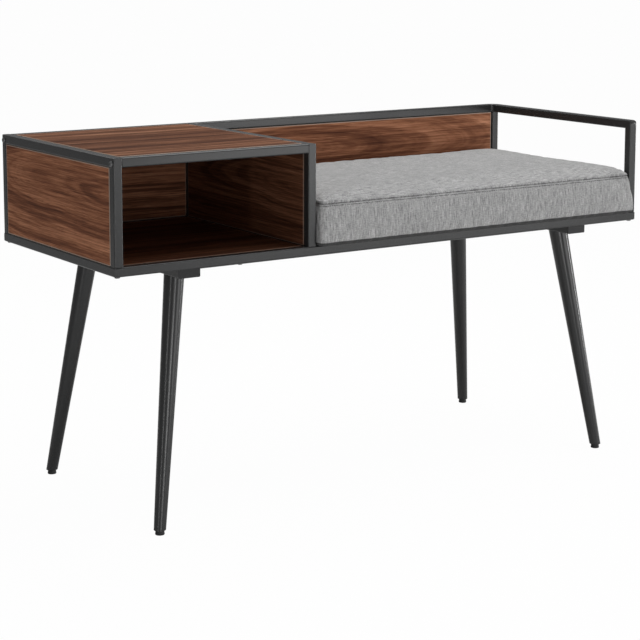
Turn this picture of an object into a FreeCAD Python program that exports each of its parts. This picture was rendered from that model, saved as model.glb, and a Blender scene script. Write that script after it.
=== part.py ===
import FreeCAD, Part
import math
import os

os.makedirs("parts", exist_ok=True)
V = FreeCAD.Vector
X_AXIS, Y_AXIS, Z_AXIS = 0, 1, 2
UNITS = (V(1, 0, 0), V(0, 1, 0), V(0, 0, 1))

# Telephone bench: a cushioned seat beside an open cubby, in a frame of square tube on four splayed legs.
# Millimetres. X runs along the bench, Y from front to back, Z up, and the floor is at Z = 0.

# Overall frame
frame_length = 1118.0
frame_depth = 430.0
frame_height = 632.0
seat_frame_top = 456.0
divider_from_left = 369.0

# Square tube
tube_size = 16.0
tube_wall = 1.5
tube_corner = 2.5
arm_bend_radius = 14.0
arm_nose_radius = 9.0

# Crossbars and stretchers under the frame
crossbar_width = 40.0
crossbar_height = 15.0
crossbar_from_end = 140.5
crossbar_inset = 7.0
crossbar_corner = 2.0
crossbar_cap_plug = 10.0
stretcher_width = 20.0
stretcher_height = 10.0
stretcher_corner = 1.5
stretcher_from_face = 56.0

# Legs: tapered round tube, leaning out at both ends
leg_top_radius = 17.3
leg_end_radius = 10.3
leg_wall = 1.5
leg_top_from_face = 59.5
leg_spread_length = 60.0
leg_spread_depth = 51.0
leg_plug_height = 22.0

# Levelling feet
foot_height = 8.0
foot_radius = 8.0
foot_gap = 0.3
stud_radius = 3.0
stud_length = 20.0
stud_clearance = 0.3

# Panels
panel_thickness = 9.0
shelf_thickness = 12.0
panel_edge = 0.6
wall_gap = 0.4
shelf_gap = 2.0
backrest_gap = 3.0
backrest_setback = 1.0
side_panel_setback = 0.5

# Tabs that hold the panels
tab_width = 20.0
tab_reach = 15.0
tab_thickness = 2.0
tab_from_corner = 45.0

# Button head bolts and the threaded blocks that they screw into
bolt_radius = 3.0
bolt_head_radius = 4.8
bolt_head_height = 2.4
bolt_socket_width = 4.0
bolt_socket_depth = 1.4
bolt_clearance = 0.25
bolt_bite = 12.0
block_length = 15.0
inside_fit = 0.2
top_bolt_drop = 9.5
cubby_bolt_from_left = 237.0

# Seat cushion
cushion_end_gap = 0.6
cushion_divider_gap = 1.5
cushion_back_gap = 4.0
cushion_overhang = 13.5
cushion_lift = 0.3
cushion_seam_height = 72.0
cushion_crown = 18.0
cushion_crown_power = 3.0
cushion_crown_reach = 150.0
cushion_corner = 8.0
cushion_corner_growth = 0.28
cushion_seam_inset = 5.5
cushion_foot_inset = 5.0
cushion_foot_round = 9.0
cushion_side_steps = 4
cushion_crown_steps = 5

# Places worked out from the sizes above
leg_foot_height = foot_height + foot_gap
seat_frame_bottom = seat_frame_top - tube_size
crossbar_bottom = seat_frame_bottom - crossbar_height
leg_rise = crossbar_bottom - leg_foot_height
lean_length = leg_spread_length / leg_rise
lean_depth = leg_spread_depth / leg_rise
leg_overhang = leg_end_radius * math.hypot(1, lean_depth) - (leg_top_from_face - leg_spread_depth)
x_left = (bolt_head_height - frame_length) / 2
x_right = x_left + frame_length
y_front = (cushion_overhang - leg_overhang - frame_depth) / 2
y_back = y_front + frame_depth
x_divider = x_left + divider_from_left
left_side = (x_left, x_left + tube_size)
right_side = (x_right - tube_size, x_right)
divider_side = (x_divider, x_divider + tube_size)
front_side = (y_front, y_front + tube_size)
back_side = (y_back - tube_size, y_back)
base_level = (seat_frame_bottom, seat_frame_top)
top_level = (frame_height - tube_size, frame_height)
whole_length = (x_left, x_right)
whole_depth = (y_front, y_back)


def middle(span):
    return (span[0] + span[1]) / 2


def shrunk(span, amount):
    return (span[0] + amount, span[1] - amount)


def ordered(a, b):
    return (min(a, b), max(a, b))


def box(x, y, z):
    """Block between the two values given for each direction."""
    return Part.makeBox(x[1] - x[0], y[1] - y[0], z[1] - z[0], V(x[0], y[0], z[0]))


def edges_along(solid, axis):
    """Straight edges of a block that run along one axis."""
    found = []
    for edge in solid.Edges:
        direction = edge.Vertexes[1].Point - edge.Vertexes[0].Point
        if abs(direction.normalize().dot(UNITS[axis])) > 0.999:
            found.append(edge)
    return found


def rounded_bar(x, y, z, axis, radius):
    bar = box(x, y, z)
    return bar.makeFillet(radius, edges_along(bar, axis))


def hollow_of(spans, axis, wall=tube_wall):
    inside = [shrunk(span, wall) for span in spans]
    inside[axis] = spans[axis]
    return inside


def tube(x, y, z, axis, corner=tube_corner):
    """Open rectangular tube with rounded long edges."""
    outer = rounded_bar(x, y, z, axis, corner)
    return outer.cut(box(*hollow_of([x, y, z], axis)))


def beyond(point, outward):
    """Block that fills the space past a plane through the point."""
    reach = 4 * tube_size
    block = Part.makeBox(reach, reach, reach, V(-reach / 2, -reach / 2, 0))
    block.Placement = FreeCAD.Placement(point, FreeCAD.Rotation(UNITS[Z_AXIS], outward))
    return block


def mitred(solid, corner, toward, other):
    """Cut a tube to the mitre at an outer corner that it and another tube run toward."""
    return solid.cut(beyond(corner, toward - other))


def cylinder(radius, start, direction, length):
    return Part.makeCylinder(radius, length, start, direction)


# Base frame
def base_rails():
    """Four mitred rails and the rail under the divider."""
    to_left, to_right = -UNITS[X_AXIS], UNITS[X_AXIS]
    to_front, to_back = -UNITS[Y_AXIS], UNITS[Y_AXIS]
    front = tube(whole_length, front_side, base_level, X_AXIS)
    back = tube(whole_length, back_side, base_level, X_AXIS)
    left = tube(left_side, whole_depth, base_level, Y_AXIS)
    right = tube(right_side, whole_depth, base_level, Y_AXIS)
    for x, to_end in ((x_left, to_left), (x_right, to_right)):
        front = mitred(front, V(x, y_front, seat_frame_top), to_end, to_front)
        back = mitred(back, V(x, y_back, seat_frame_top), to_end, to_back)
    for y, to_face in ((y_front, to_front), (y_back, to_back)):
        left = mitred(left, V(x_left, y, seat_frame_top), to_face, to_left)
        right = mitred(right, V(x_right, y, seat_frame_top), to_face, to_right)
    between = (front_side[1], back_side[0])
    return {
        "base_front_rail": front,
        "base_back_rail": back,
        "base_left_rail": left,
        "base_right_rail": right,
        "base_middle_rail": tube(divider_side, between, base_level, Y_AXIS),
    }


# Upper frame
def upper_frame():
    """Posts and top rails of the cubby, and the post at the back right corner."""
    up = UNITS[Z_AXIS]
    to_front, to_back = -UNITS[Y_AXIS], UNITS[Y_AXIS]
    full_post = (seat_frame_top, frame_height)
    short_post = (seat_frame_top, top_level[0])
    lid_level = (top_level[0] - tube_wall, top_level[0])
    lid = rounded_bar(right_side, back_side, lid_level, Z_AXIS, tube_corner)
    left_front = tube(left_side, front_side, full_post, Z_AXIS)
    left_front = mitred(left_front, V(x_left, y_front, frame_height), up, to_front)
    left_back = tube(left_side, back_side, full_post, Z_AXIS)
    left_back = mitred(left_back, V(x_left, y_back, frame_height), up, to_back)
    left_top = tube(left_side, whole_depth, top_level, Y_AXIS)
    left_top = mitred(left_top, V(x_left, y_front, frame_height), to_front, up)
    left_top = mitred(left_top, V(x_left, y_back, frame_height), to_back, up)
    divider_front = tube(divider_side, front_side, full_post, Z_AXIS)
    divider_front = mitred(divider_front, V(x_divider, y_front, frame_height), up, to_front)
    divider_top = tube(divider_side, (y_front, back_side[0]), top_level, Y_AXIS)
    divider_top = mitred(divider_top, V(x_divider, y_front, frame_height), to_front, up)
    return {
        "left_front_post": left_front,
        "left_back_post": left_back,
        "left_top_rail": left_top,
        "cubby_front_top_rail": tube((left_side[1], x_divider), front_side, top_level, X_AXIS),
        "divider_front_post": divider_front,
        "divider_back_post": tube(divider_side, back_side, short_post, Z_AXIS),
        "divider_top_rail": divider_top,
        "back_right_post": tube(right_side, back_side, short_post, Z_AXIS).fuse(lid).removeSplitter(),
    }


def nose(inset):
    """Side outline of the arm's front end, rounded where the arm turns down."""
    radius = arm_nose_radius - inset
    front, top = y_front + inset, frame_height - inset
    x = right_side[0] - tube_size
    turn = math.sqrt(0.5) * radius
    centre_y, centre_z = front + radius, top - radius
    arc = Part.Arc(
        V(x, front, centre_z),
        V(x, centre_y - turn, centre_z + turn),
        V(x, centre_y, top),
    )
    corners = [V(x, centre_y, top), V(x, y_back, top), V(x, y_back, 0)]
    corners += [V(x, front, 0), V(x, front, centre_z)]
    edges = [arc.toShape()]
    edges += [Part.makeLine(a, b) for a, b in zip(corners[:-1], corners[1:])]
    return Part.Face(Part.Wire(edges)).extrude(V(3 * tube_size, 0, 0))


def nosed_tube(x, y, z, axis):
    """Tube whose outside and hollow both follow the rounded front end of the arm."""
    outer = rounded_bar(x, y, z, axis, tube_corner).common(nose(0))
    inner = box(*hollow_of([x, y, z], axis)).common(nose(tube_wall))
    return outer.cut(inner)


def arm_frame():
    """The tube that is the back's top rail, bends forward as the arm and turns down at its front."""
    up, to_front = UNITS[Z_AXIS], -UNITS[Y_AXIS]
    outer_bend = arm_bend_radius + tube_size / 2
    corner = V(x_right, y_front, frame_height)
    back_run = tube((left_side[1], x_right - outer_bend), back_side, top_level, X_AXIS)
    arm_run = nosed_tube(right_side, (y_front, y_back - outer_bend), top_level, Y_AXIS)
    arm_run = mitred(arm_run, corner, to_front, up)
    section = max(back_run.Faces, key=lambda face: face.CenterOfMass.x)
    bend_centre = V(x_right - outer_bend, y_back - outer_bend, 0)
    bend = section.revolve(bend_centre, UNITS[Z_AXIS], -90)
    post = nosed_tube(right_side, front_side, (seat_frame_top, frame_height), Z_AXIS)
    return {
        "back_and_arm_tube": back_run.fuse([bend, arm_run]).removeSplitter(),
        "arm_front_post": mitred(post, corner, up, to_front),
    }


# Crossbars, stretchers and legs
crossbar_centres = (x_left + crossbar_from_end, x_right - crossbar_from_end)
crossbar_depth = shrunk(whole_depth, crossbar_inset)
crossbar_level = (crossbar_bottom, seat_frame_bottom)
crossbar_tube_depth = shrunk(crossbar_depth, tube_wall)


def crossbar_side(centre):
    return (centre - crossbar_width / 2, centre + crossbar_width / 2)


def crossbar(centre):
    return tube(crossbar_side(centre), crossbar_tube_depth, crossbar_level, Y_AXIS, crossbar_corner)


def crossbar_cap(centre, end, outward):
    """Plastic cap: a plate as large as the bar's section, on a plug inside the bar."""
    side = crossbar_side(centre)
    plate_depth = ordered(end, end + outward * tube_wall)
    plate = rounded_bar(side, plate_depth, crossbar_level, Y_AXIS, crossbar_corner)
    plug_depth = ordered(end, end - outward * crossbar_cap_plug)
    plug = box(*hollow_of([side, plug_depth, crossbar_level], Y_AXIS, tube_wall + inside_fit))
    return plate.fuse(plug)


def crossbar_caps():
    low, high = crossbar_tube_depth
    caps = []
    for centre in crossbar_centres:
        caps.append(crossbar_cap(centre, low, -1))
        caps.append(crossbar_cap(centre, high, 1))
    return Part.makeCompound(caps)


def stretcher(y):
    inner = (crossbar_side(crossbar_centres[0])[1], crossbar_side(crossbar_centres[1])[0])
    across = (y - stretcher_width / 2, y + stretcher_width / 2)
    level = (seat_frame_bottom - stretcher_height, seat_frame_bottom)
    return rounded_bar(inner, across, level, X_AXIS, stretcher_corner)


def leg_axis(side_x, side_y):
    """Leg's centre under its crossbar and at its lower end."""
    top_x = crossbar_centres[0] if side_x < 0 else crossbar_centres[1]
    top_y = (y_front if side_y < 0 else y_back) - side_y * leg_top_from_face
    top = V(top_x, top_y, crossbar_bottom)
    end = V(top_x + side_x * leg_spread_length, top_y + side_y * leg_spread_depth, leg_foot_height)
    return top, end


def leaning_cone(top, end, inset):
    """Cone along a leg, run on past both ends and cut level with the floor there."""
    spare = leg_top_radius / leg_rise
    axis = end - top
    start = top - axis * spare
    taper = leg_end_radius - leg_top_radius
    radius_start = leg_top_radius - taper * spare - inset
    radius_end = leg_end_radius + taper * spare - inset
    length = axis.Length * (1 + 2 * spare)
    cone = Part.makeCone(radius_start, radius_end, length, start, axis)
    reach = frame_length
    keep = Part.makeBox(reach, reach, top.z - end.z, V(top.x - reach / 2, top.y - reach / 2, end.z))
    return cone.common(keep)


def leg_parts(side_x, side_y):
    """Hollow leg, the plug in its lower end, and the levelling foot's pad and stud."""
    up = UNITS[Z_AXIS]
    top, end = leg_axis(side_x, side_y)
    leg = leaning_cone(top, end, 0).cut(leaning_cone(top, end, leg_wall))
    plug_room = cylinder(leg_top_radius, end, up, leg_plug_height)
    bore = cylinder(stud_radius + stud_clearance, end, up, leg_plug_height)
    plug = leaning_cone(top, end, leg_wall + inside_fit).common(plug_room).cut(bore)
    pad = cylinder(foot_radius, V(end.x, end.y, 0), up, foot_height)
    stud = cylinder(stud_radius, V(end.x, end.y, foot_height), up, stud_length)
    return leg, plug, pad, stud


# Bolts
def bolt(point, direction, grip):
    """Button head bolt: the head's underside is at the point and the shank runs along the direction."""
    up = UNITS[Z_AXIS]
    head = cylinder(bolt_head_radius, V(0, 0, 0), -up, bolt_head_height)
    shank = cylinder(bolt_radius, V(0, 0, 0), up, grip + bolt_bite)
    corner_radius = bolt_socket_width / 2 / math.cos(math.pi / 6)
    rim = []
    for corner in range(7):
        angle = corner * math.pi / 3
        rim.append(V(corner_radius * math.cos(angle), corner_radius * math.sin(angle), -bolt_head_height))
    socket = Part.Face(Part.makePolygon(rim)).extrude(V(0, 0, bolt_socket_depth))
    solid = head.fuse(shank).cut(socket)
    solid.Placement = FreeCAD.Placement(point, FreeCAD.Rotation(up, direction))
    return solid


def bolt_hole(point, direction, grip):
    start = point - direction * tube_size
    length = tube_size + grip + bolt_bite + bolt_clearance
    return cylinder(bolt_radius + bolt_clearance, start, direction, length)


def block_in(x, y, z, axis, hole):
    """Threaded block inside the end of a tube."""
    return box(*hollow_of([x, y, z], axis, tube_wall + inside_fit)).cut(hole)


def add_bolts(nodes):
    """Bolts up through the base frame into the posts, and in through the left frame into the top rails."""
    up, to_right = UNITS[Z_AXIS], UNITS[X_AXIS]
    bolts, blocks = [], []
    post_corners = (
        (left_side, front_side, ("base_front_rail", "base_left_rail")),
        (left_side, back_side, ("base_back_rail", "base_left_rail")),
        (right_side, front_side, ("base_front_rail", "base_right_rail")),
        (right_side, back_side, ("base_back_rail", "base_right_rail")),
    )
    block_level = (seat_frame_top, seat_frame_top + block_length)
    for x, y, rails in post_corners:
        point = V(middle(x), middle(y), seat_frame_bottom)
        hole = bolt_hole(point, up, tube_size)
        for rail in rails:
            nodes[rail] = nodes[rail].cut(hole)
        bolts.append(bolt(point, up, tube_size))
        blocks.append(block_in(x, y, block_level, Z_AXIS, hole))
    short_grip = tube_size - tube_wall - bolt_bite - 2 * bolt_clearance
    for y, rail in ((front_side, "base_front_rail"), (back_side, "base_back_rail")):
        point = V(x_left + cubby_bolt_from_left, middle(y), seat_frame_bottom)
        hole = bolt_hole(point, up, short_grip)
        nodes[rail] = nodes[rail].cut(hole)
        bolts.append(bolt(point, up, short_grip))
        across = (point.x - block_length / 2, point.x + block_length / 2)
        blocks.append(block_in(across, y, base_level, X_AXIS, hole))
    face_bolts = []
    block_run = (left_side[1], left_side[1] + block_length)
    for y, post, rail in (
        (front_side, "left_front_post", "cubby_front_top_rail"),
        (back_side, "left_back_post", "back_and_arm_tube"),
    ):
        point = V(x_left, middle(y), frame_height - top_bolt_drop)
        hole = bolt_hole(point, to_right, tube_size)
        for name in (post, "left_top_rail"):
            nodes[name] = nodes[name].cut(hole)
        face_bolts.append(bolt(point, to_right, tube_size))
        blocks.append(block_in(block_run, y, top_level, X_AXIS, hole))
    nodes["base_bolts"] = Part.makeCompound(bolts)
    nodes["top_corner_bolts"] = Part.makeCompound(face_bolts)
    nodes["threaded_blocks"] = Part.makeCompound(blocks)


# Panels
def panel(x, y, z):
    """Board with its edges eased."""
    board = box(x, y, z)
    return board.makeChamfer(panel_edge, board.Edges)


def tab(normal, face, away, reach_axis, root, inward, centre):
    """Tab welded to a tube behind a panel's face."""
    spans = [None, None, None]
    spans[normal] = ordered(face, face + away * tab_thickness)
    spans[reach_axis] = ordered(root, root + inward * tab_reach)
    spans[3 - normal - reach_axis] = (centre - tab_width / 2, centre + tab_width / 2)
    return box(*spans)


def tabs_of(spans, support, centres):
    """Tabs for a panel on the tubes at both ends of its support."""
    normal, away, roots, reach_axis = support
    face = spans[normal][1] if away > 0 else spans[normal][0]
    plates = []
    for root, inward in ((roots[0], 1), (roots[1], -1)):
        for centre in centres:
            plates.append(tab(normal, face, away, reach_axis, root, inward, centre))
    return plates


def add_panels(nodes):
    bay_depth = (front_side[1], back_side[0])
    cubby = (left_side[1], x_divider)
    seat_bay = (divider_side[1], right_side[0])
    wall_level = (seat_frame_top, top_level[0])

    top_board = (frame_height - shelf_thickness, frame_height)
    base_board = (seat_frame_top - shelf_thickness, seat_frame_top)
    side_face = x_left + side_panel_setback
    side_board = (side_face, side_face + panel_thickness)
    divider_board = (x_divider, x_divider + panel_thickness)
    cubby_back = (y_back - panel_thickness, y_back)
    backrest_face = back_side[0] + backrest_setback
    backrest = (backrest_face, backrest_face + panel_thickness)

    cubby_shelf = shrunk(cubby, shelf_gap)
    shelf_depth = shrunk(bay_depth, shelf_gap)
    wall_depth = shrunk(bay_depth, wall_gap)
    wall_height = shrunk(wall_level, wall_gap)
    cubby_wall = shrunk(cubby, wall_gap)
    seat_wall = shrunk(seat_bay, backrest_gap)
    cubby_ends = shrunk(cubby, tab_from_corner)
    depth_ends = shrunk(bay_depth, tab_from_corner)
    seat_ends = shrunk(seat_bay, tab_from_corner)
    seat_supports = (seat_ends[0], middle(seat_bay), seat_ends[1])

    # A support is the panel's normal, the side its tabs are on, the tubes' faces and the way the tabs reach
    lying = (Z_AXIS, -1, bay_depth, Y_AXIS)
    across = (X_AXIS, 1, wall_level, Z_AXIS)
    facing_back = (Y_AXIS, 1, wall_level, Z_AXIS)
    facing_front = (Y_AXIS, -1, wall_level, Z_AXIS)
    boards = {
        "top_panel": ((cubby_shelf, shelf_depth, top_board), lying, cubby_ends),
        "floor_panel": ((cubby_shelf, shelf_depth, base_board), lying, cubby_ends),
        "seat_board": ((shrunk(seat_bay, shelf_gap), shelf_depth, base_board), lying, seat_supports),
        "side_panel": ((side_board, wall_depth, wall_height), across, depth_ends),
        "divider_panel": ((divider_board, wall_depth, wall_height), across, depth_ends),
        "cubby_back_panel": ((cubby_wall, cubby_back, wall_height), facing_front, cubby_ends),
        "backrest_panel": ((seat_wall, backrest, wall_height), facing_back, seat_supports),
    }
    tabs = []
    for name, (spans, support, centres) in boards.items():
        nodes[name] = panel(*spans)
        plates = tabs_of(spans, support, centres)
        if name == "cubby_back_panel":
            # This panel's lower right is open to view, and no tab shows there
            del plates[1]
        tabs += plates
    nodes["panel_tabs"] = Part.makeCompound(tabs)


# Cushion
def rounded_outline(x, y, z, radius):
    """Level rectangle with rounded corners, as lines and quarter arcs."""
    edges = []
    corners = (
        (x[1] - radius, y[0] + radius, -90),
        (x[1] - radius, y[1] - radius, 0),
        (x[0] + radius, y[1] - radius, 90),
        (x[0] + radius, y[0] + radius, 180),
    )
    last = V(x[0] + radius, y[0], z)
    for centre_x, centre_y, start in corners:
        points = []
        for turn in (0, 45, 90):
            angle = math.radians(start + turn)
            points.append(V(centre_x + radius * math.cos(angle), centre_y + radius * math.sin(angle), z))
        edges.append(Part.makeLine(last, points[0]))
        edges.append(Part.Arc(*points).toShape())
        last = points[2]
    return Part.Wire(edges)


def cushion_levels():
    """Height above the cushion's underside, and how far the outline lies inside its widest."""
    levels = []
    for step in range(cushion_side_steps + 1):
        share = (step / cushion_side_steps) ** 1.5
        height = cushion_seam_height * share
        below_round = max(0, 1 - height / cushion_foot_round)
        foot_inset = cushion_foot_inset * (1 - math.sqrt(1 - below_round ** 2))
        levels.append((height, foot_inset + cushion_seam_inset * share ** 2))
    for step in range(1, cushion_crown_steps + 1):
        share = (step / cushion_crown_steps) ** 2
        rise = (1 - (1 - share) ** cushion_crown_power) ** (1 / cushion_crown_power)
        inset = cushion_seam_inset + cushion_crown_reach * share
        levels.append((cushion_seam_height + cushion_crown * rise, inset))
    return levels


def cushion():
    """Boxed seat cushion: sides drawn in to a seam, and a crowned top."""
    x = (divider_side[1] + cushion_divider_gap, right_side[0] - cushion_end_gap)
    y = (y_front - cushion_overhang, back_side[0] - cushion_back_gap)
    outlines = []
    for height, inset in cushion_levels():
        z = seat_frame_top + cushion_lift + height
        radius = cushion_corner + cushion_corner_growth * inset
        outlines.append(rounded_outline(shrunk(x, inset), shrunk(y, inset), z, radius))
    return Part.makeLoft(outlines, True, True)


nodes = {}
nodes.update(base_rails())
nodes.update(upper_frame())
nodes.update(arm_frame())
nodes["left_crossbar"] = crossbar(crossbar_centres[0])
nodes["right_crossbar"] = crossbar(crossbar_centres[1])
nodes["crossbar_caps"] = crossbar_caps()
nodes["front_stretcher"] = stretcher(y_front + stretcher_from_face)
nodes["back_stretcher"] = stretcher(y_back - stretcher_from_face)
legs, plugs = [], []
for place_x, side_x in (("left", -1), ("right", 1)):
    for place_y, side_y in (("front", -1), ("back", 1)):
        leg, plug, pad, stud = leg_parts(side_x, side_y)
        legs.append(leg)
        plugs.append(plug)
        nodes[place_y + "_" + place_x + "_foot_pad"] = pad
        nodes[place_y + "_" + place_x + "_foot_stud"] = stud
nodes["legs"] = Part.makeCompound(legs)
nodes["leg_end_plugs"] = Part.makeCompound(plugs)
add_bolts(nodes)
add_panels(nodes)
nodes["seat_cushion"] = cushion()

for name, shape in nodes.items():
    shape.exportStep("parts/" + name + ".step")
    print(name, len(shape.Solids), shape.isValid(), round(shape.Volume / 1000, 2))
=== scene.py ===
import math

import bmesh
import bpy
import numpy as np
from mathutils import Matrix, Vector, noise
from mathutils.bvhtree import BVHTree


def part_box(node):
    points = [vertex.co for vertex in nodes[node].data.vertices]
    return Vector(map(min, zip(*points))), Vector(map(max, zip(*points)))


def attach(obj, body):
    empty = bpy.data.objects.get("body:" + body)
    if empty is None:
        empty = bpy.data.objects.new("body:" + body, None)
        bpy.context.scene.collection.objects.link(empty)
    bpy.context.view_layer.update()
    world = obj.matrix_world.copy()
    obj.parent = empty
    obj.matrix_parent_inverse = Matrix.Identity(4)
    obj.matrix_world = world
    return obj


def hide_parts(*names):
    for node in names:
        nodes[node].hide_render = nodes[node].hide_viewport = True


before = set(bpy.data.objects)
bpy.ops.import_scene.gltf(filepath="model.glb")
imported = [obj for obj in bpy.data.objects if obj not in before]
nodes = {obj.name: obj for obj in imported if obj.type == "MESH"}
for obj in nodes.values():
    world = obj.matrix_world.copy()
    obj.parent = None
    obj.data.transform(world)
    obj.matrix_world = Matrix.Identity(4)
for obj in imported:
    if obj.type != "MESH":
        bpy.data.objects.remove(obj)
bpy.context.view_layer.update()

MM = 0.001
BENCH = "bench"
FEET = ("front_left_foot", "back_left_foot", "front_right_foot", "back_right_foot")

# Places read from the frame
left_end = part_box("base_front_rail")[0].x
front_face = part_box("base_front_rail")[0].y

# The photograph's camera, measured from the frame's left end and front face
LENS = 102.19
CAMERA_FROM_LEFT = -1305.0 * MM
CAMERA_FROM_FRONT = -2544.8 * MM
CAMERA_HEIGHT = 974.2 * MM
CAMERA_YAW = 32.679
CAMERA_PITCH = 7.917
CAMERA_ROLL = -0.066
SHIFT_X = 0.05
SHIFT_Y = -0.2


def add_camera():
    yaw, pitch, roll = (math.radians(angle) for angle in (CAMERA_YAW, CAMERA_PITCH, CAMERA_ROLL))
    level = math.cos(pitch)
    forward = Vector((math.sin(yaw) * level, math.cos(yaw) * level, -math.sin(pitch)))
    right = Vector((math.cos(yaw), -math.sin(yaw), 0))
    up = right.cross(forward)
    rolled_right = right * math.cos(roll) + up * math.sin(roll)
    rolled_up = up * math.cos(roll) - right * math.sin(roll)
    data = bpy.data.cameras.new("camera")
    data.lens = LENS
    data.sensor_width = 36
    data.shift_x = SHIFT_X
    data.shift_y = SHIFT_Y
    data.clip_end = 50
    camera = bpy.data.objects.new("camera", data)
    camera.matrix_world = Matrix((rolled_right, rolled_up, -forward)).transposed().to_4x4()
    camera.location = (left_end + CAMERA_FROM_LEFT, front_face + CAMERA_FROM_FRONT, CAMERA_HEIGHT)
    bpy.context.scene.collection.objects.link(camera)
    bpy.context.scene.camera = camera


# Materials
class Shader:
    """One material and short ways to add nodes to it."""

    def __init__(self, name):
        self.material = bpy.data.materials.new(name)
        self.material.use_nodes = True
        self.tree = self.material.node_tree
        self.bsdf = self.tree.nodes["Principled BSDF"]
        self.output = self.tree.nodes["Material Output"]
        self.place = self.node("ShaderNodeTexCoord").outputs["Object"]

    def node(self, kind, **settings):
        made = self.tree.nodes.new(kind)
        for name, value in settings.items():
            setattr(made, name, value)
        return made

    def feed(self, socket, value):
        if isinstance(value, bpy.types.NodeSocket):
            self.tree.links.new(value, socket)
        elif socket.type == "RGBA":
            socket.default_value = (*value, 1)
        else:
            socket.default_value = value

    def math(self, operation, *values):
        made = self.node("ShaderNodeMath", operation=operation)
        for socket, value in zip(made.inputs, values):
            self.feed(socket, value)
        return made.outputs[0]

    def split(self, vector):
        made = self.node("ShaderNodeSeparateXYZ")
        self.feed(made.inputs[0], vector)
        return made.outputs

    def join(self, x, y, z):
        made = self.node("ShaderNodeCombineXYZ")
        for socket, value in zip(made.inputs, (x, y, z)):
            self.feed(socket, value)
        return made.outputs[0]

    def noise(self, vector, scale=(1, 1, 1), detail=3.0, roughness=0.5, offset=(0, 0, 0)):
        mapping = self.node("ShaderNodeMapping")
        self.feed(mapping.inputs["Vector"], vector)
        self.feed(mapping.inputs["Scale"], scale)
        self.feed(mapping.inputs["Location"], offset)
        made = self.node("ShaderNodeTexNoise")
        self.feed(made.inputs["Vector"], mapping.outputs[0])
        self.feed(made.inputs["Scale"], 1)
        self.feed(made.inputs["Detail"], detail)
        self.feed(made.inputs["Roughness"], roughness)
        return made.outputs["Fac"]

    def ramp(self, factor, *stops):
        made = self.node("ShaderNodeValToRGB")
        self.feed(made.inputs["Fac"], factor)
        elements = made.color_ramp.elements
        while len(elements) < len(stops):
            elements.new(0.5)
        for element, (position, color) in zip(elements, stops):
            element.position = position
            element.color = (*color, 1)
        return made.outputs["Color"]

    def mix(self, factor, a, b):
        made = self.node("ShaderNodeMix", data_type="RGBA")
        self.feed(made.inputs["Factor"], factor)
        self.feed(made.inputs["A"], a)
        self.feed(made.inputs["B"], b)
        return made.outputs["Result"]

    def blend(self, *parts):
        """Sum of values, each times its weight."""
        total = 0.0
        for value, weight in parts:
            total = self.math("MULTIPLY_ADD", value, weight, total)
        return total

    def between(self, value, low, high):
        """From 0 at low to 1 at high."""
        made = self.node("ShaderNodeMapRange", interpolation_type="SMOOTHSTEP")
        self.feed(made.inputs["Value"], value)
        self.feed(made.inputs["From Min"], low)
        self.feed(made.inputs["From Max"], high)
        return made.outputs["Result"]

    def bump(self, height, distance, strength=1.0, normal=None):
        made = self.node("ShaderNodeBump")
        if normal is not None:
            self.feed(made.inputs["Normal"], normal)
        self.feed(made.inputs["Distance"], distance)
        self.feed(made.inputs["Strength"], strength)
        self.feed(made.inputs["Height"], height)
        self.feed(self.bsdf.inputs["Normal"], made.outputs[0])

    def finish(self, color, roughness, specular=0.5, metallic=0.0):
        self.feed(self.bsdf.inputs["Base Color"], color)
        self.feed(self.bsdf.inputs["Roughness"], roughness)
        self.bsdf.inputs["Specular IOR Level"].default_value = specular
        self.bsdf.inputs["Metallic"].default_value = metallic
        return self.material


# Legs: heights of their ends, and how far each leans out along the length and the depth
LEG_END = 8.3 * MM
LEG_TOP = 425 * MM
LEG_SPREAD = (60 * MM, 51 * MM)


def leg_normal(shader):
    """Direction straight out from the nearest leg's own axis, so that its highlights run smoothly."""
    first, last = (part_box(node) for node in ("front_left_foot_pad", "back_right_foot_pad"))
    xyz = shader.split(shader.place)
    rise = shader.blend((xyz[2], 1 / (LEG_TOP - LEG_END)), (1.0, -LEG_END / (LEG_TOP - LEG_END)))
    lean = Vector((-LEG_SPREAD[0], -LEG_SPREAD[1], LEG_TOP - LEG_END)).normalized()
    sides = []
    outward = []
    for axis in (0, 1):
        start, end = ((low[axis] + high[axis]) / 2 for low, high in (first, last))
        from_middle = shader.math("SUBTRACT", xyz[axis], (start + end) / 2)
        sides.append(shader.math("SIGN", from_middle))
        away = shader.math("ABSOLUTE", from_middle)
        outward.append(shader.blend((away, 1.0), (rise, LEG_SPREAD[axis]), (1.0, (start - end) / 2)))
    along = shader.blend((outward[0], lean.x), (outward[1], lean.y))
    parts = [shader.math("MULTIPLY", sides[axis], shader.blend((outward[axis], 1.0), (along, -lean[axis])))
             for axis in (0, 1)]
    unit = shader.node("ShaderNodeVectorMath", operation="NORMALIZE")
    shader.feed(unit.inputs[0], shader.join(*parts, shader.blend((along, -lean.z))))
    return unit.outputs[0]


def powder_coat(name, normal_of=None):
    """Satin charcoal powder coat with a faint orange peel."""
    shader = Shader(name)
    peel = shader.noise(shader.place, (900, 900, 900), detail=2)
    drift = shader.noise(shader.place, (9, 9, 9))
    color = shader.ramp(drift, (0.3, (0.027, 0.0275, 0.028)), (0.7, (0.031, 0.0316, 0.0322)))
    shader.bump(peel, 0.03 * MM, 0.25, normal_of(shader) if normal_of else None)
    return shader.finish(color, shader.blend((peel, 0.08), (1.0, 0.22)), specular=0.45)


# Which axis a panel's grain runs along, the one across it and the one through the board
GRAIN_AXES = {"along_x": (0, 1, 2), "along_y": (1, 2, 0), "along_x_upright": (0, 2, 1)}

# How far from a board's end the painted highlight on its eased edge begins, and where it is full
EDGE_HIGHLIGHT_BAND = (1.8 * MM, 1.2 * MM)


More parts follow.
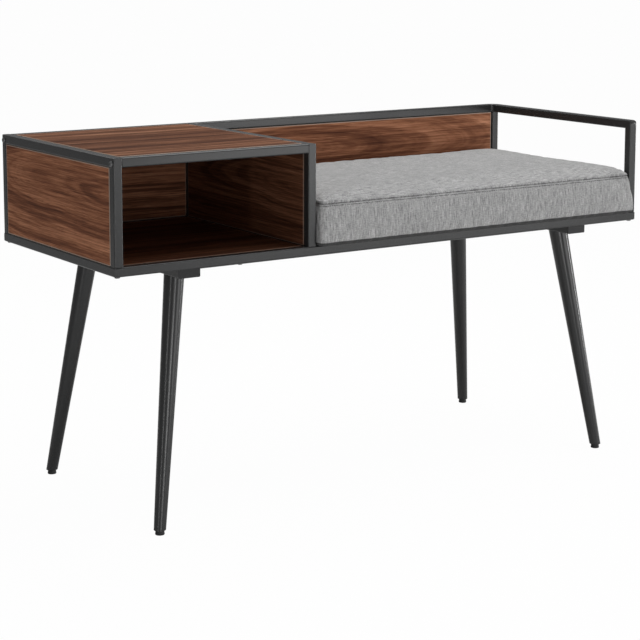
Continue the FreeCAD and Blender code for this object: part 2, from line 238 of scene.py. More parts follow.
def walnut(node, grain, seed, heart, tilt, light=1.0, contrast=1.0, edge_highlight_tone=0.3):
    """Walnut laminate: growth rings cut at a slant, streaks, fibres, pores and a painted highlight on the
    eased edge.

    heart is how far the middle of the trunk lies from the panel's middle, across the grain, and
    tilt how fast the cut leaves it along the grain. light scales the colours, painting the panel
    lighter or darker for how light falls on it, contrast spreads the tones and edge_highlight_tone
    is how strong the painted highlight on the eased edge is.
    """
    shader = Shader("walnut_" + node)
    axes = GRAIN_AXES[grain]
    low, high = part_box(node)
    middle = (low + high) / 2
    xyz = shader.split(shader.place)
    along, across, through = (shader.math("SUBTRACT", xyz[axis], middle[axis]) for axis in axes)
    board = shader.join(shader.math("ADD", along, seed * 3.1), across, through)

    wander = shader.noise(board, (2.2, 5, 1), detail=2)
    drawn = shader.blend((across, 1.0), (wander, 0.055), (1.0, -heart - 0.0275))
    slant = shader.blend((along, tilt), (shader.noise(board, (3, 1, 1), detail=1), 0.02), (1.0, 0.012))
    squares = shader.math("ADD", shader.math("POWER", drawn, 2.0), shader.math("POWER", slant, 2.0))
    ring = shader.math("SQRT", squares)
    ring = shader.blend((ring, 1.0), (shader.noise(board, (11, 34, 1), detail=2), 0.006))
    rings = shader.join(ring, seed * 1.3, shader.math("MULTIPLY", along, 0.25))
    bands = shader.noise(rings, (42, 1, 1), detail=2)
    growth = shader.noise(rings, (175, 1, 2), detail=2, roughness=0.6)
    streaks = shader.noise(board, (4, 190, 1), detail=3, roughness=0.6, offset=(3, 1, 0))
    fibres = shader.noise(board, (13, 760, 40), detail=3, roughness=0.65)
    dashes = shader.noise(board, (38, 1350, 40), detail=1, offset=(0, 5, 0))
    pores = shader.between(dashes, 0.58, 0.70)

    tone = shader.blend((bands, 0.34), (growth, 0.30), (streaks, 0.32), (fibres, 0.34), (1.0, -0.15))
    tone = shader.blend((tone, contrast), (1.0, 0.5 - 0.5 * contrast))
    shades = (
        (0.36, (0.042, 0.0160, 0.0100)),
        (0.45, (0.096, 0.0370, 0.0200)),
        (0.52, (0.176, 0.0730, 0.0385)),
        (0.60, (0.284, 0.1300, 0.0730)),
        (0.70, (0.405, 0.2120, 0.1260)),
    )
    # The colours are scaled per panel: painted light or shade for how light falls on this panel
    color = shader.ramp(tone, *((at, [part * light for part in shade]) for at, shade in shades))
    color = shader.mix(shader.blend((pores, 0.45)), color, (0.022, 0.010, 0.007))
    # Painted highlight along the board's eased edges
    edge = 0.0
    for value, axis in ((along, axes[0]), (across, axes[1])):
        half = (high[axis] - low[axis]) / 2
        near = shader.between(shader.math("ABSOLUTE", value), half - EDGE_HIGHLIGHT_BAND[0], half - EDGE_HIGHLIGHT_BAND[1])
        edge = shader.math("MAXIMUM", edge, near)
    color = shader.mix(shader.blend((edge, edge_highlight_tone)), color, (0.55, 0.44, 0.37))
    shader.bump(shader.blend((fibres, 1.0), (pores, -0.9)), 0.12 * MM, 0.6)
    return shader.finish(color, shader.blend((fibres, 0.14), (1.0, 0.46)), specular=0.03)


# Cloth: the pitch of its knots, and its dark bands (painted shade in the seam, the stitch line, and a
# painted shadow along the foot) from where they begin to where they are full
KNOT_PITCH = 1.25 * MM
SEAM_SHADE_BAND = (1.3 * MM, 0.6 * MM)
SEAM_SHADE_DROP = 0.3 * MM
PRESSED_BAND = (1.2 * MM, 0.5 * MM)
FOOT_SHADOW_BAND = (6.6 * MM, 5.0 * MM)


def woven_cloth(seam_level, foot_level):
    """Heathered grey weave whose uneven threads run along and across each side of the cushion.

    Painted shade darkens it in the seam and a painted shadow darkens its foot, where the cover turns under
    the cushion; it is also darker under the stitches.
    """
    shader = Shader("grey_weave")
    xyz = shader.split(shader.place)
    facing = shader.split(shader.node("ShaderNodeNewGeometry").outputs["Normal"])
    up = shader.between(shader.math("ABSOLUTE", facing[2]), 0.45, 0.70)
    sideways = shader.between(shader.math("ABSOLUTE", facing[0]), 0.55, 0.80)
    views = (shader.join(xyz[1], xyz[0], 0), shader.join(xyz[0], xyz[2], 0), shader.join(xyz[1], xyz[2], 0))

    def seen(from_above, from_front, from_end):
        return shader.mix(up, shader.mix(sideways, from_front, from_end), from_above)

    warp = seen(*(shader.noise(view, (640, 50, 1), roughness=0.65) for view in views))
    weft = seen(*(shader.noise(view, (140, 640, 1), roughness=0.65, offset=(7, 3, 0)) for view in views))
    knots = []
    for view in views:
        parts = shader.split(view)
        turn = 2 * math.pi / KNOT_PITCH
        over = [shader.math("SINE", shader.math("MULTIPLY", part, turn)) for part in parts[:2]]
        knots.append(shader.blend((shader.math("MULTIPLY", *over), 0.5), (1.0, 0.5)))
    knot = seen(*knots)
    slubs = shader.noise(shader.place, (480, 480, 480), detail=3, roughness=0.6)
    drift = shader.noise(shader.place, (18, 18, 18))
    tone = shader.blend((warp, 0.50), (weft, 0.26), (slubs, 0.16), (drift, 0.05), (1.0, 0.015))
    color = shader.ramp(tone, (0.38, (0.19, 0.19, 0.192)), (0.46, (0.33, 0.33, 0.33)),
                        (0.54, (0.49, 0.488, 0.486)), (0.64, (0.74, 0.738, 0.735)))
    color = shader.mix(shader.blend((knot, -0.14), (1.0, 0.14)), color, (0.16, 0.16, 0.162))
    # Painted shade along the seam's groove
    from_seam = shader.math("ABSOLUTE", shader.math("SUBTRACT", xyz[2], seam_level - SEAM_SHADE_DROP))
    sewn = shader.between(from_seam, *SEAM_SHADE_BAND)
    # Painted shadow along the cushion's foot, where it curves in over the rail
    foot_shadow = shader.between(xyz[2], *(foot_level + height for height in FOOT_SHADOW_BAND))
    from_thread = shader.math("ABSOLUTE", shader.math("SUBTRACT", xyz[2], seam_level - STITCH_DROP))
    pressed = shader.between(from_thread, *PRESSED_BAND)
    dashes = shader.between(shader.noise(shader.place, (230, 230, 40), detail=1), 0.42, 0.54)
    # The seam's painted shade, uneven along its length
    color = shader.mix(shader.math("MULTIPLY", sewn, shader.blend((dashes, 0.3), (1.0, 0.42))), color,
                       (0.05, 0.05, 0.051))
    color = shader.mix(shader.math("MULTIPLY", pressed, shader.blend((dashes, 0.45))), color,
                       (0.06, 0.06, 0.061))
    # The painted shadow at the foot
    color = shader.mix(shader.blend((foot_shadow, 0.9)), color, (0.02, 0.02, 0.02))
    shader.bump(shader.blend((knot, 0.5), (warp, 0.8), (weft, 0.6)), 0.45 * MM, 0.7)
    shader.bsdf.inputs["Sheen Weight"].default_value = 0.10
    shader.bsdf.inputs["Sheen Roughness"].default_value = 0.5
    return shader.finish(color, 0.92, specular=0.15)


def plain(name, color, roughness, metallic=0.0):
    """Moulded plastic, plated or blackened steel with a fine uneven surface."""
    shader = Shader(name)
    fine = shader.noise(shader.place, (700, 700, 700))
    broad = shader.noise(shader.place, (40, 40, 40), detail=2)
    tone = shader.ramp(broad, (0.3, [part * 0.85 for part in color]), (0.7, color))
    shader.bump(fine, 0.04 * MM, 0.6)
    uneven = shader.blend((fine, 0.15), (1.0, roughness))
    return shader.finish(tone, uneven, metallic=metallic, specular=0.35)


def chipboard():
    """Bare pressed flakes, under the cushion."""
    shader = Shader("chipboard")
    flakes = shader.noise(shader.place, (220, 90, 300), detail=4, roughness=0.7)
    shades = (
        (0.30, (0.20, 0.13, 0.075)),
        (0.55, (0.36, 0.26, 0.17)),
        (0.70, (0.47, 0.36, 0.25)),
    )
    color = shader.ramp(flakes, *shades)
    shader.bump(flakes, 0.3 * MM, 0.6)
    return shader.finish(color, 0.75, specular=0.2)


def dress(names, material):
    for name in names:
        data = nodes[name].data
        data.materials.clear()
        data.materials.append(material)


def soften(name):
    """Smooth shading over rounded edges, with flat faces kept flat."""
    thing = nodes[name]
    thing.data.polygons.foreach_set("use_smooth", [True] * len(thing.data.polygons))
    weld = thing.modifiers.new("weld", "WELD")
    weld.merge_threshold = 0.01 * MM
    weighted = thing.modifiers.new("weighted_normals", "WEIGHTED_NORMAL")
    weighted.weight = 100
    weighted.keep_sharp = True


# Mesh helpers
def mesh_object(name, bm, material, smooth=True):
    data = bpy.data.meshes.new(name)
    bm.to_mesh(data)
    bm.free()
    data.materials.append(material)
    if smooth:
        data.polygons.foreach_set("use_smooth", [True] * len(data.polygons))
    thing = bpy.data.objects.new(name, data)
    bpy.context.scene.collection.objects.link(thing)
    return thing


def solids_of(name):
    """Lowest and highest corner of each solid in a node, in order of the lowest."""
    bm = bmesh.new()
    bm.from_mesh(nodes[name].data)
    bmesh.ops.remove_doubles(bm, verts=bm.verts, dist=0.005 * MM)
    boxes = []
    left = set(bm.verts)
    while left:
        front = [left.pop()]
        found = []
        while front:
            vert = front.pop()
            found.append(vert.co.copy())
            for edge in vert.link_edges:
                other = edge.other_vert(vert)
                if other in left:
                    left.remove(other)
                    front.append(other)
        boxes.append((Vector([min(co[k] for co in found) for k in range(3)]),
                      Vector([max(co[k] for co in found) for k in range(3)])))
    bm.free()
    return sorted(boxes, key=lambda box: tuple(box[0]))


def towards(point, direction):
    """Placement at a point with its z axis along a direction."""
    return Matrix.Translation(point) @ Vector(direction).to_track_quat("Z", "Y").to_matrix().to_4x4()


def lathe(bm, profile, place, turns=48):
    """Closed solid through rings of (radius, height), where a radius may be a function of the angle."""
    rings = []
    for radius, height in profile:
        if radius == 0:
            rings.append([bm.verts.new(place @ Vector((0, 0, height)))])
            continue
        ring = []
        for step in range(turns):
            angle = 2 * math.pi * step / turns
            reach = radius(angle) if callable(radius) else radius
            spot = Vector((reach * math.cos(angle), reach * math.sin(angle), height))
            ring.append(bm.verts.new(place @ spot))
        rings.append(ring)
    for lower, upper in zip(rings[:-1], rings[1:]):
        for step in range(turns):
            after = (step + 1) % turns
            if len(lower) == 1:
                bm.faces.new((lower[0], upper[after], upper[step]))
            elif len(upper) == 1:
                bm.faces.new((lower[step], lower[after], upper[0]))
            else:
                bm.faces.new((lower[step], lower[after], upper[after], upper[step]))


def crease(thing, angle=35):
    """Keep the sharp edges of a smooth shaded piece."""
    bm = bmesh.new()
    bm.from_mesh(thing.data)
    limit = math.radians(angle)
    for edge in bm.edges:
        edge.smooth = len(edge.link_faces) == 2 and edge.calc_face_angle() < limit
    bm.to_mesh(thing.data)
    bm.free()


# Bolts and screws, with the screw's point as (radius, height) in millimetres
HEAD_RADIUS = 4.8 * MM
HEAD_HEIGHT = 2.4 * MM
HEAD_RIM = 0.5 * MM
SHANK_RADIUS = 2.95 * MM
SHANK_POINT = 0.75
SHANK_CHAMFER = 0.8 * MM
SOCKET_WIDTH = 4.0 * MM
SOCKET_RIM = 0.68
SOCKET_CHAMFER = 0.15 * MM
SOCKET_DEPTH = 1.5 * MM
SOCKET_CONE = 0.4 * MM
SCREW_RADIUS = 3.4 * MM
SCREW_HEIGHT = 1.9 * MM
SCREW_RIM = 0.6 * MM
SCREW_CROSS_REACH = 1.9 * MM
SCREW_CROSS_WIDTH = 0.9 * MM
SCREW_CROSS_DEPTH = 1.0 * MM
SCREW_CROSS_EDGE = 1.2
SCREW_CROSS_CHAMFER = 0.05 * MM
SCREW_CROSS_CONE = 0.3 * MM
SCREW_POINT_PROFILE = ((0, -7), (1.2, -6), (1.7, -3), (1.7, 0))
TAB_CONTACT = 0.3 * MM


def domed(radius, inner, height, rim, steps=6):
    """Profile of a domed head from its rim to the edge of its recess."""
    points = []
    for step in range(steps + 1):
        turn = math.pi / 2 * step / steps
        points.append((inner + (radius - inner) * math.cos(turn), rim + (height - rim) * math.sin(turn)))
    return points


def hexagon(angle):
    sixth = math.pi / 3
    return SOCKET_WIDTH / 2 / math.cos(angle % sixth - sixth / 2)


def cross(angle):
    quarter = math.pi / 2
    turned = abs((angle + quarter / 2) % quarter - quarter / 2)
    side = SCREW_CROSS_WIDTH / 2 / max(math.sin(turned), 1e-6)
    end = SCREW_CROSS_REACH / math.cos(turned)
    return min(side, end)


def add_bolts(node, axis, steel):
    """Button head bolts with a hex socket, driven along an axis."""
    bm = bmesh.new()
    for low, high in solids_of(node):
        seat = (low + high) / 2
        seat[axis] = low[axis] + HEAD_HEIGHT
        outwards = Vector((0, 0, 0))
        outwards[axis] = -1
        length = high[axis] - seat[axis]
        profile = [(0, -length), (SHANK_RADIUS * SHANK_POINT, -length),
                   (SHANK_RADIUS, -length + SHANK_CHAMFER), (SHANK_RADIUS, 0), (HEAD_RADIUS, 0)]
        profile += domed(HEAD_RADIUS, SOCKET_WIDTH * SOCKET_RIM, HEAD_HEIGHT, HEAD_RIM)
        profile += [(hexagon, HEAD_HEIGHT - SOCKET_CHAMFER), (hexagon, HEAD_HEIGHT - SOCKET_DEPTH),
                    (0, HEAD_HEIGHT - SOCKET_DEPTH - SOCKET_CONE)]
        lathe(bm, profile, towards(seat, outwards))
    bolts = mesh_object(node + "_domed", bm, steel)
    crease(bolts)
    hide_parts(node)
    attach(bolts, BENCH)


def add_panel_screws(panels, steel):
    """A pan head screw with a cross recess through each tab into its panel."""
    bm = bmesh.new()
    boxes = [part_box(panel) for panel in panels]
    for low, high in solids_of("panel_tabs"):
        size = high - low
        thin = min(range(3), key=lambda axis: size[axis])
        wide = [axis for axis in range(3) if axis != thin]
        middle = (low + high) / 2
        for panel_low, panel_high in boxes:
            over = all(panel_low[axis] < middle[axis] < panel_high[axis] for axis in wide)
            if over and abs(panel_low[thin] - high[thin]) < TAB_CONTACT:
                outwards, face = -1, low[thin]
            elif over and abs(panel_high[thin] - low[thin]) < TAB_CONTACT:
                outwards, face = 1, high[thin]
            else:
                continue
            direction = Vector((0, 0, 0))
            direction[thin] = outwards
            seat = middle.copy()
            seat[thin] = face
            profile = [(radius * MM, height * MM) for radius, height in SCREW_POINT_PROFILE]
            profile += [(SCREW_RADIUS, 0)]
            profile += domed(SCREW_RADIUS, SCREW_CROSS_REACH * SCREW_CROSS_EDGE, SCREW_HEIGHT, SCREW_RIM)
            profile += [(cross, SCREW_HEIGHT - SCREW_CROSS_CHAMFER),
                        (cross, SCREW_HEIGHT - SCREW_CROSS_DEPTH),
                        (0, SCREW_HEIGHT - SCREW_CROSS_DEPTH - SCREW_CROSS_CONE)]
            lathe(bm, profile, towards(seat, direction))
            break
    screws = mesh_object("panel_screws", bm, steel)
    crease(screws)
    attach(screws, BENCH)


# Levelling feet, with the pad's profile as (radius, height) in millimetres
PAD_PROFILE = ((0, 0), (6.9, 0), (7.6, 0.25), (8.0, 0.9), (8.0, 2.4), (7.75, 3.0), (7.45, 6.6), (7.2, 7.5),
               (6.5, 8.0), (0, 8.0))
THREAD_PITCH = 1.0 * MM
THREAD_DEPTH = 0.55 * MM
THREAD_STEPS = 6
THREAD_TURNS = 24
THREAD_END = 1.5 * MM


def threaded(bm, place, radius, length):
    """Stud with a helical thread."""
    levels = round(length / THREAD_PITCH * THREAD_STEPS)
    profile = [(0, 0)]
    for level in range(levels + 1):
        height = length * level / levels

        def reach(angle, height=height):
            phase = (height / THREAD_PITCH - angle / (2 * math.pi)) % 1
            near_end = max(0, 1 - (length - height) / THREAD_END)
            return radius - THREAD_DEPTH * max(abs(2 * phase - 1), near_end)

        profile.append((reach, height))
    profile.append((0, length))
    lathe(bm, profile, place, turns=THREAD_TURNS)


def add_feet(plastic, zinc):
    for foot in FEET:
        low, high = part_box(foot + "_pad")
        bm = bmesh.new()
        middle = (low + high) / 2
        profile = [(radius * MM, height * MM) for radius, height in PAD_PROFILE]
        lathe(bm, profile, Matrix.Translation((middle.x, middle.y, low.z)))
        pad = mesh_object(foot + "_turned_pad", bm, plastic)
        crease(pad, angle=50)
        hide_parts(foot + "_pad")
        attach(pad, foot)
        low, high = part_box(foot + "_stud")
        bm = bmesh.new()
        middle = (low + high) / 2
        threaded(bm, Matrix.Translation((middle.x, middle.y, low.z)), (high.x - low.x) / 2, high.z - low.z)
        stud = mesh_object(foot + "_threaded_stud", bm, zinc)
        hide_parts(foot + "_stud")
        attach(stud, foot)


# Cushion
SEAM_DROP = 18 * MM
SEAM_INSET = 5.5 * MM
FOOT_INSET = 5 * MM
FOOT_ROUND = 9 * MM
PLAN_CORNER = 8 * MM
CROWN_REACH = 150 * MM
CROWN_POWER = 3
GRID_STEP = 6 * MM
GRID_FINE = 1.5 * MM
FABRIC_TRAVEL = 3 * MM
FILL_FRAMES = 20
FILL_PRESSURE = 3.0
CUT_LARGER = 0.02
POST_BULGE = 4 * MM
POST_CLEARANCE = 0.8 * MM
BULGE_REACH = 30 * MM
SIDE_ROOM = 0.2 * MM
FRONT_SWELL = 3 * MM
BACK_SWELL = 2 * MM
SEAM_GROOVE = 2.8 * MM
SEAM_WIDTH = 1.7 * MM
STITCH_GROOVE = 0.7 * MM
STITCH_WIDTH = 1.2 * MM
GATHERS = 0.75 * MM
GATHER_REACH = 10 * MM
UNEVENNESS = 0.5 * MM
STITCH_DROP = 4.0 * MM
STITCH_LENGTH = 2.9 * MM
STITCH_PITCH = 4.2 * MM
STITCH_RADIUS = 0.42 * MM
STITCH_FROM_CORNER = 12 * MM
STITCH_SIDES = 6


def graded(length, fine, step, growth=1.45):
    """Distances along a side: close together near both ends and even between."""
    ends = [0.0]
    gap = fine
    while gap < step:
        ends.append(ends[-1] + gap)
        gap *= growth
    middle = length - 2 * ends[-1]
    count = max(1, round(middle / step))
    inner = [ends[-1] + middle * k / count for k in range(1, count)]
    return ends + inner + [length - end for end in reversed(ends)]


def round_corner(x, y, half_x, half_y, radius):
    """Take a place near a square corner of the plan into the rounded one."""
    over_x = abs(x) - (half_x - radius)
    over_y = abs(y) - (half_y - radius)
    if over_x <= 0 or over_y <= 0:
        return x, y
    scale = max(over_x, over_y) / math.hypot(over_x, over_y)
    return (math.copysign(half_x - radius + over_x * scale, x),
            math.copysign(half_y - radius + over_y * scale, y))


def crown_share(x, y, half_x, half_y):
    """How much of the crown there is at a place on the top."""
    to_x = max(half_x - abs(x), 1e-6)
    to_y = max(half_y - abs(y), 1e-6)
    from_edge = (to_x ** -4 + to_y ** -4) ** -0.25
    share = min(1.0, from_edge / CROWN_REACH)
    return (1 - (1 - share) ** CROWN_POWER) ** (1 / CROWN_POWER)


class Cushion:
    """Boxed seat cushion, modelled, filled by a cloth simulation and then sewn."""

    def __init__(self, material):
        self.low, self.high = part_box("seat_cushion")
        self.half = (self.high - self.low) / 2
        self.middle = (self.high + self.low) / 2
        self.seam_level = self.high.z - SEAM_DROP
        self.build(material)

    def build(self, material):
        side_height = self.seam_level - self.low.z
        xs = graded(2 * self.half.x, GRID_FINE, GRID_STEP)
        ys = graded(2 * self.half.y, GRID_FINE, GRID_STEP)
        zs = graded(side_height, GRID_FINE, GRID_STEP)
        nx, ny, nz = len(xs) - 1, len(ys) - 1, len(zs) - 1
        bm = bmesh.new()
        verts = {}

        def vert(i, j, k):
            if (i, j, k) not in verts:
                share = zs[k] / side_height
                below_round = max(0.0, 1 - zs[k] / FOOT_ROUND)
                inset = FOOT_INSET * (1 - math.sqrt(1 - below_round ** 2)) + SEAM_INSET * share ** 2
                x, y, z = xs[i] - self.half.x, ys[j] - self.half.y, zs[k]
                x, y = round_corner(x, y, self.half.x, self.half.y, PLAN_CORNER)
                x *= 1 - inset / self.half.x
                y *= 1 - inset / self.half.y
                if k == nz and 0 < i < nx and 0 < j < ny:
                    z += SEAM_DROP * crown_share(x, y, self.half.x - inset, self.half.y - inset)
                place = (self.middle.x + x, self.middle.y + y, self.low.z + z)
                verts[i, j, k] = bm.verts.new(place)
            return verts[i, j, k]

        def quad(*corners):
            bm.faces.new([vert(*corner) for corner in corners])

        for i in range(nx):
            for j in range(ny):
                quad((i, j, nz), (i + 1, j, nz), (i + 1, j + 1, nz), (i, j + 1, nz))
                quad((i, j, 0), (i, j + 1, 0), (i + 1, j + 1, 0), (i + 1, j, 0))
        for k in range(nz):
            for i in range(nx):
                quad((i, 0, k), (i + 1, 0, k), (i + 1, 0, k + 1), (i, 0, k + 1))
                quad((i + 1, ny, k), (i, ny, k), (i, ny, k + 1), (i + 1, ny, k + 1))
            for j in range(ny):
                quad((0, j + 1, k), (0, j, k), (0, j, k + 1), (0, j + 1, k + 1))
                quad((nx, j, k), (nx, j + 1, k), (nx, j + 1, k + 1), (nx, j, k + 1))
        bm.verts.index_update()
        self.seam = []
        self.base = []
        for (i, j, k), made in verts.items():
            rim = i in (0, nx) or j in (0, ny)
            if k == nz and rim:
                self.seam.append(made.index)
            if k == 0:
                self.base.append(made.index)
        self.thing = mesh_object("cushion", bm, material)

    def places(self, data=None):
        data = data or self.thing.data
        flat = np.empty(len(data.vertices) * 3)
        data.vertices.foreach_get("co", flat)
        return flat.reshape(-1, 3)

    def move(self, places):
        self.thing.data.vertices.foreach_set("co", np.ascontiguousarray(places).ravel())
        self.thing.data.update()

    def fill(self):
        """Blow the cover, cut a little large, out against its seams.

        No place on it ends up further than FABRIC_TRAVEL from where it began.
        """
        start = self.places()
        held = self.thing.vertex_groups.new(name="held")
        held.add(self.seam + self.base, 1.0, "REPLACE")
        cloth = self.thing.modifiers.new("cloth", "CLOTH")
        settings = cloth.settings
        settings.quality = 5
        settings.mass = 0.3
        settings.tension_stiffness = 15
        settings.compression_stiffness = 15
        settings.shear_stiffness = 5
        settings.bending_stiffness = 0.5
        settings.use_pressure = True
        settings.uniform_pressure_force = FILL_PRESSURE
        settings.vertex_group_mass = "held"
        settings.shrink_min = -CUT_LARGER
        settings.effector_weights.gravity = 0
        cloth.collision_settings.use_collision = False
        scene = bpy.context.scene
        cloth.point_cache.frame_start = 1
        cloth.point_cache.frame_end = FILL_FRAMES
        for step in range(1, FILL_FRAMES + 1):
            scene.frame_set(step)
        evaluated = self.thing.evaluated_get(bpy.context.evaluated_depsgraph_get())
        shift = self.places(evaluated.data) - start
        self.thing.modifiers.remove(cloth)
        scene.frame_set(1)
        length = np.linalg.norm(shift, axis=1)
        print("cloth moved", round(length.mean() / MM, 2), round(length.max() / MM, 2), "mm")
        limit = FABRIC_TRAVEL * np.tanh(length / FABRIC_TRAVEL)
        self.move(start + shift * (limit / np.maximum(length, 1e-9))[:, None])

    def refine(self):
        bm = bmesh.new()
        bm.from_mesh(self.thing.data)
        bmesh.ops.subdivide_edges(bm, edges=bm.edges, cuts=1, use_grid_fill=True, smooth=0.6)
        bm.to_mesh(self.thing.data)
        bm.free()

    def from_seam(self, place):
        """Distance over the surface from the seam, below it if negative."""
        inside_x = self.half.x - abs(place.x - self.middle.x)
        inside_y = self.half.y - abs(place.y - self.middle.y)
        from_edge = min(inside_x, inside_y)
        rise = place.z - self.seam_level
        if rise > 0.4 * MM:
            return rise + max(0.0, from_edge - SEAM_INSET - rise * 0.5)
        return rise

    def sew(self):
        """Sink the seam and the stitch line under it, and gather the cloth beside them."""
        data = self.thing.data
        normals = [vertex.normal.copy() for vertex in data.vertices]
        for vertex, normal in zip(data.vertices, normals):
            place = vertex.co
            if place.z < self.low.z + 3 * MM:
                continue
            distance = self.from_seam(place)
            travel = place.x - place.y if place.x > self.middle.x else place.x + place.y
            groove = math.exp(-(distance / SEAM_WIDTH) ** 2)
            stitched = STITCH_GROOVE * math.exp(-((distance + STITCH_DROP) / STITCH_WIDTH) ** 2)
            pleat = noise.noise(Vector((travel * 120, 3.1, place.z * 10)))
            pleat += 0.6 * noise.noise(Vector((travel * 260, 7.3, place.z * 20)))
            gather = pleat * math.exp(-abs(distance) / GATHER_REACH)
            ease = noise.noise(Vector((place.x * 9, place.y * 9, place.z * 14)))
            relief = -SEAM_GROOVE * groove - stitched + GATHERS * gather + UNEVENNESS * ease
            vertex.co = place + normal * relief
        data.update()

    def fit(self):
        """Keep the cover between the posts and on the board, swelling past the front of the right post."""
        post_face = front_face - POST_CLEARANCE
        for vertex in self.thing.data.vertices:
            place = vertex.co
            limit = self.high.x - SIDE_ROOM
            if place.y < post_face:
                height = (place.z - self.low.z) / (self.seam_level - self.low.z)
                low_down = max(0.0, 1 - height) * min(1.0, height * 9)
                share = max(0.0, 1 - (self.high.x - place.x) / BULGE_REACH)
                forward = min(1.0, (post_face - place.y) / (6 * MM))
                place.x += POST_BULGE * low_down * share * forward
                limit += POST_BULGE
            place.x = min(max(place.x, self.low.x + SIDE_ROOM), limit)
            place.y = min(max(place.y, self.low.y - FRONT_SWELL), self.high.y + BACK_SWELL)
            place.z = max(place.z, self.low.z)
        self.thing.data.update()


def add_stitches(cushion, material):
    """A row of stitches that lies on the cover just under its seam."""
    thing = cushion.thing
    bm = bmesh.new()
    bm.from_mesh(thing.data)
    tree = BVHTree.FromBMesh(bm)
    bm.free()
    level = cushion.seam_level - STITCH_DROP
    reach_x = cushion.half.x
    reach_y = cushion.half.y
    bm = bmesh.new()
    sides = ((Vector((1, 0, 0)), Vector((0, -1, 0)), reach_x, reach_y),
             (Vector((1, 0, 0)), Vector((0, 1, 0)), reach_x, reach_y),
             (Vector((0, 1, 0)), Vector((-1, 0, 0)), reach_y, reach_x),
             (Vector((0, 1, 0)), Vector((1, 0, 0)), reach_y, reach_x))
    centre = Vector((cushion.middle.x, cushion.middle.y, level))
    for along, outwards, reach, across in sides:
        run = reach - STITCH_FROM_CORNER
        count = int(2 * run / STITCH_PITCH)
        for index in range(count):
            points = []
            for step in range(5):
                travel = -run + STITCH_PITCH * index + STITCH_LENGTH * step / 4
                origin = centre + along * travel + outwards * (across + 30 * MM)
                hit, normal, _, _ = tree.ray_cast(origin, -outwards)
                if hit is None:
                    break
                lift = 0.9 if 0 < step < 4 else -0.6
                points.append(hit + normal * STITCH_RADIUS * lift)
            if len(points) < 5:
                continue
            rings = []
            for place, scale in zip(points, (0.45, 0.95, 1.1, 0.95, 0.45)):
                ring = []
                for turn in range(STITCH_SIDES):
                    angle = 2 * math.pi * turn / STITCH_SIDES
                    offset = outwards * math.cos(angle) + Vector((0, 0, 1)) * math.sin(angle)
                    ring.append(bm.verts.new(place + offset * STITCH_RADIUS * scale))
                rings.append(ring)
            for first, second in zip(rings[:-1], rings[1:]):
                for turn in range(STITCH_SIDES):
                    after = (turn + 1) % STITCH_SIDES
                    bm.faces.new((first[turn], first[after], second[after], second[turn]))
            bm.faces.new(rings[0])
            bm.faces.new(rings[-1])
    bmesh.ops.recalc_face_normals(bm, faces=bm.faces)
    stitches = mesh_object("cushion_stitches", bm, material)
    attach(stitches, BENCH)


def thread_yarn():
    """Twisted dark grey sewing thread."""
    shader = Shader("grey_thread")
    twist = shader.noise(shader.place, (2400, 2400, 900), detail=2)
    color = shader.ramp(twist, (0.35, (0.055, 0.055, 0.056)), (0.65, (0.13, 0.13, 0.13)))
    shader.bump(twist, 0.1 * MM, 0.5)
    return shader.finish(color, 0.8, specular=0.2)


def add_cushion():
    low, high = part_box("seat_cushion")
    cushion = Cushion(woven_cloth(high[2] - SEAM_DROP, low[2]))
    cushion.fill()
    cushion.refine()
    cushion.sew()
    cushion.fit()
    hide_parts("seat_cushion")
    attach(cushion.thing, BENCH)
    add_stitches(cushion, thread_yarn())


# Floor, world and lamps: strength of the even light, how much of the floor shows as backdrop, and
# how much of the backdrop is mirrored in the bench
AMBIENT = 0.16
BACKDROP_SHARE = 0.98
MIRRORED_SHARE = 0.10
FLOOR_REACH = 60


def add_stage():
    """Pale floor that shows white and keeps a trace of the shadow."""
    bm = bmesh.new()
    bmesh.ops.create_grid(bm, x_segments=1, y_segments=1, size=FLOOR_REACH)
    shader = Shader("pale_floor")
    shader.finish((0.86, 0.86, 0.86), 0.9, specular=0.1)
    rays = shader.node("ShaderNodeLightPath").outputs
    mirrored = shader.math("MULTIPLY", rays["Is Glossy Ray"], MIRRORED_SHARE)
    seen = shader.math("MAXIMUM", rays["Is Camera Ray"], rays["Is Transmission Ray"])
    seen = shader.math("MAXIMUM", seen, mirrored)
    glow = shader.node("ShaderNodeEmission")
    blend = shader.node("ShaderNodeMixShader")
    shader.feed(blend.inputs[0], shader.math("MULTIPLY", seen, BACKDROP_SHARE))
    shader.feed(blend.inputs[1], shader.bsdf.outputs[0])
    shader.feed(blend.inputs[2], glow.outputs[0])
    shader.feed(shader.output.inputs["Surface"], blend.outputs[0])
    mesh_object("floor", bm, shader.material, smooth=False)


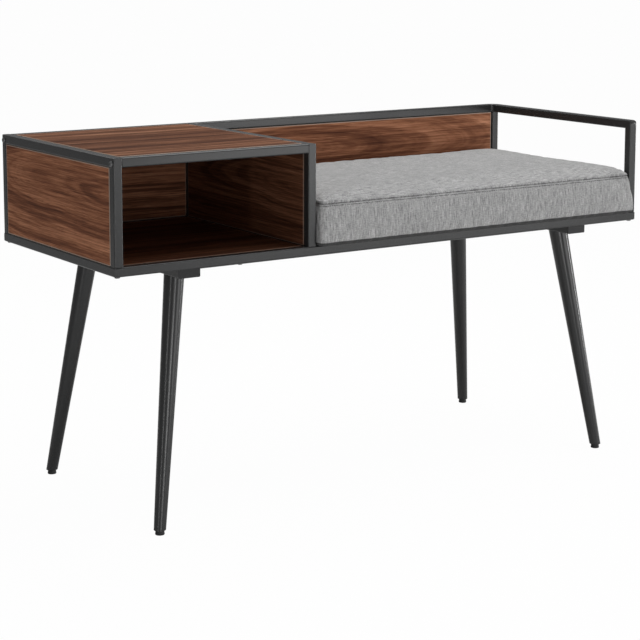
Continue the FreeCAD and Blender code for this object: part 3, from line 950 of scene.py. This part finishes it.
def add_world():
    """Even soft light, with a white backdrop behind the bench and in its reflections."""
    world = bpy.data.worlds.new("studio")
    world.use_nodes = True
    tree = world.node_tree
    ambient = tree.nodes["Background"]
    ambient.inputs["Color"].default_value = (1, 1, 1, 1)
    ambient.inputs["Strength"].default_value = AMBIENT
    backdrop = tree.nodes.new("ShaderNodeBackground")
    backdrop.inputs["Color"].default_value = (1, 1, 1, 1)
    rays = tree.nodes.new("ShaderNodeLightPath").outputs
    mirrored = tree.nodes.new("ShaderNodeMath")
    mirrored.operation = "MULTIPLY"
    mirrored.inputs[1].default_value = MIRRORED_SHARE
    tree.links.new(rays["Is Glossy Ray"], mirrored.inputs[0])
    seen = rays["Is Camera Ray"]
    for kind in (rays["Is Transmission Ray"], mirrored.outputs[0]):
        either = tree.nodes.new("ShaderNodeMath")
        either.operation = "MAXIMUM"
        tree.links.new(seen, either.inputs[0])
        tree.links.new(kind, either.inputs[1])
        seen = either.outputs[0]
    blend = tree.nodes.new("ShaderNodeMixShader")
    tree.links.new(seen, blend.inputs[0])
    tree.links.new(ambient.outputs[0], blend.inputs[1])
    tree.links.new(backdrop.outputs[0], blend.inputs[2])
    tree.links.new(blend.outputs[0], tree.nodes["World Output"].inputs["Surface"])
    bpy.context.scene.world = world


def add_lamp(name, place, target, size, radiance):
    """Rectangular lamp at a place, turned to its target."""
    data = bpy.data.lights.new(name, "AREA")
    data.shape = "RECTANGLE"
    data.size, data.size_y = size
    data.energy = radiance * math.pi * size[0] * size[1]
    lamp = bpy.data.objects.new(name, data)
    lamp.location = place
    lamp.visible_camera = False
    lamp.rotation_euler = (Vector(target) - Vector(place)).to_track_quat("-Z", "Y").to_euler()
    bpy.context.scene.collection.objects.link(lamp)


def add_lamps():
    centre = (0, 0, 0.45)
    add_lamp("front_box", (1.8, -2.9, 0.46), centre, (1.8, 0.9), 2.9)
    add_lamp("key_strip", (-0.75, -2.7, 0.38), (0.0, 0.0, 0.25), (0.17, 0.7), 24.0)
    add_lamp("overhead_box", (0.6, 0.0, 2.7), centre, (2.6, 1.8), 3.6)
    add_lamp("back_strip", (-0.5, 2.6, 2.4), centre, (1.6, 0.4), 2.5)
    add_lamp("right_strip", (2.8, -1.0, 0.38), (0.0, 0.0, 0.25), (0.24, 0.7), 26.0)
    add_lamp("left_strip", (-2.6, -1.3, 0.30), (-0.5, -0.15, 0.45), (0.10, 1.3), 14.0)
    add_lamp("cubby_strip", (-0.95, -1.75, 0.35), (-0.42, -0.15, 0.25), (0.14, 0.6), 3.4)


# The studio
bpy.context.scene.view_settings.view_transform = "Standard"
add_camera()
add_world()
add_lamps()
add_stage()

# The frame
tubes = [name for name in nodes if name.endswith(("_rail", "_post", "_tube", "_crossbar", "_stretcher"))]
dress(tubes + ["panel_tabs"], powder_coat("powder_coat"))
dress(["legs"], powder_coat("powder_coat_round", leg_normal))
for name in tubes + ["legs"]:
    soften(name)

# The panels, each painted lighter or darker for how light falls on it, and with a painted highlight on its
# eased edges
PANELS = {
    "top_panel": dict(grain="along_x", heart=0.42, tilt=0.03, light=1.0, contrast=1.35, edge_highlight_tone=0.9),
    "floor_panel": dict(grain="along_x", heart=0.30, tilt=0.03, light=0.85),
    "side_panel": dict(grain="along_y", heart=0.035, tilt=0.10, light=2.3, contrast=0.85, edge_highlight_tone=0.9),
    "divider_panel": dict(grain="along_y", heart=0.02, tilt=0.12, light=0.85),
    "cubby_back_panel": dict(grain="along_x_upright", heart=-0.16, tilt=0.05, light=1.4),
    "backrest_panel": dict(grain="along_x_upright", heart=0.03, tilt=0.13, light=1.8, contrast=0.9,
                           edge_highlight_tone=0.8),
}
for number, (name, look) in enumerate(PANELS.items(), start=1):
    dress([name], walnut(name, seed=number, **look))
dress(["seat_board"], chipboard())

# Fastenings, caps and feet
plastic = plain("black_plastic", (0.020, 0.020, 0.021), 0.42)
zinc = plain("zinc", (0.55, 0.55, 0.56), 0.28, metallic=1.0)
steel = plain("black_steel", (0.20, 0.20, 0.205), 0.30, metallic=0.5)
dress(["crossbar_caps", "leg_end_plugs"], plastic)
dress(["threaded_blocks"], zinc)
add_bolts("base_bolts", 2, steel)
add_bolts("top_corner_bolts", 0, steel)
add_panel_screws([name for name in nodes if name.endswith("_panel")] + ["seat_board"], steel)
add_feet(plastic, zinc)

# The cushion
add_cushion()
